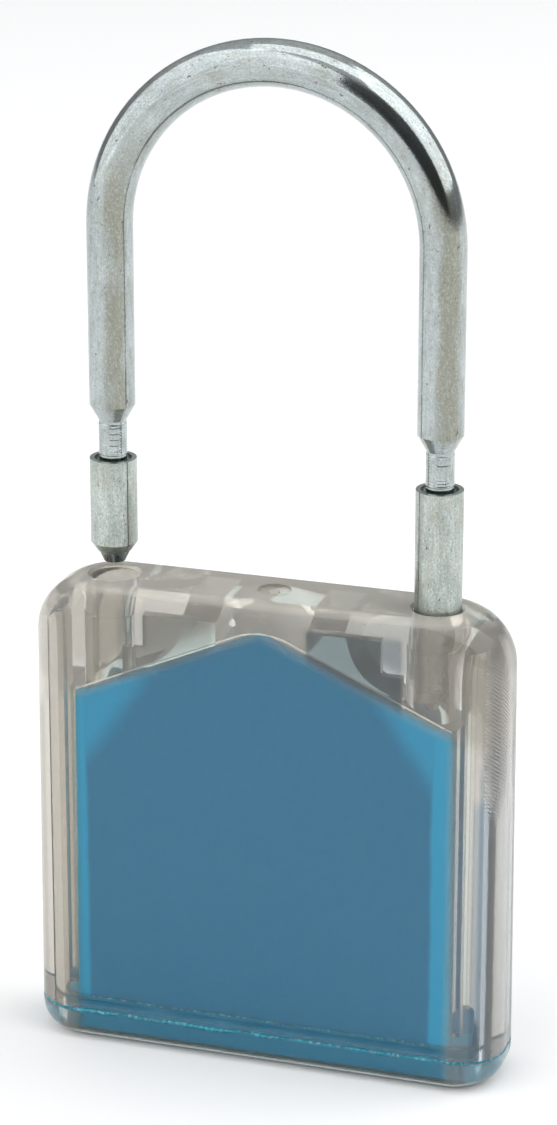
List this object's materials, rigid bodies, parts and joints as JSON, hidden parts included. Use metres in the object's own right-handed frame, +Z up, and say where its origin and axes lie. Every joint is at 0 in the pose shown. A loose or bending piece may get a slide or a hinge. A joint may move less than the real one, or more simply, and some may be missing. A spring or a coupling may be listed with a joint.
{
  "type": "padlock seal",
  "caption": "Single-use padlock seal: a bent-wire shackle with locking collars and a flat clear case round a blue house-shaped insert.",
  "frame": {"origin": "centre of the flat bottom face of the case", "axes": "+X towards the captive leg, on the right seen from the front; -Y towards the front face of the case; +Z up along the shackle's legs"},
  "size_m": [0.0432, 0.0098, 0.0914],
  "materials": {
    "clear_plastic": "clear moulded plastic with a glossy surface",
    "blue_plastic": "translucent blue moulded plastic, satin",
    "plated_wire": "bright zinc-plated steel wire with drawing lines",
    "plated_collar": "zinc-plated rolled steel strip, satin"
  },
  "bodies": {
    "case": {"clear_body": "clear_plastic", "clear_base": "clear_plastic", "blue_insert": "blue_plastic"},
    "captive_collar": {"captive_collar": "plated_collar"},
    "shackle": {"shackle": "plated_wire"},
    "free_collar": {"free_collar": "plated_collar"}
  },
  "joints": [
    {"name": "shackle_push", "type": "slide", "parent": "case", "child": "captive_collar", "axis": [0, 0, 1], "range_m": [-0.0142, 0.0036]},
    {"name": "shackle_swivel", "type": "hinge", "parent": "captive_collar", "child": "shackle", "pos_m": [0.01467, 0, 0.045], "axis": [0, 0, 1], "continuous": true},
    {"name": "free_collar_spin", "type": "hinge", "parent": "shackle", "child": "free_collar", "pos_m": [-0.01467, 0, 0.05], "axis": [0, 0, 1], "continuous": true}
  ]
}
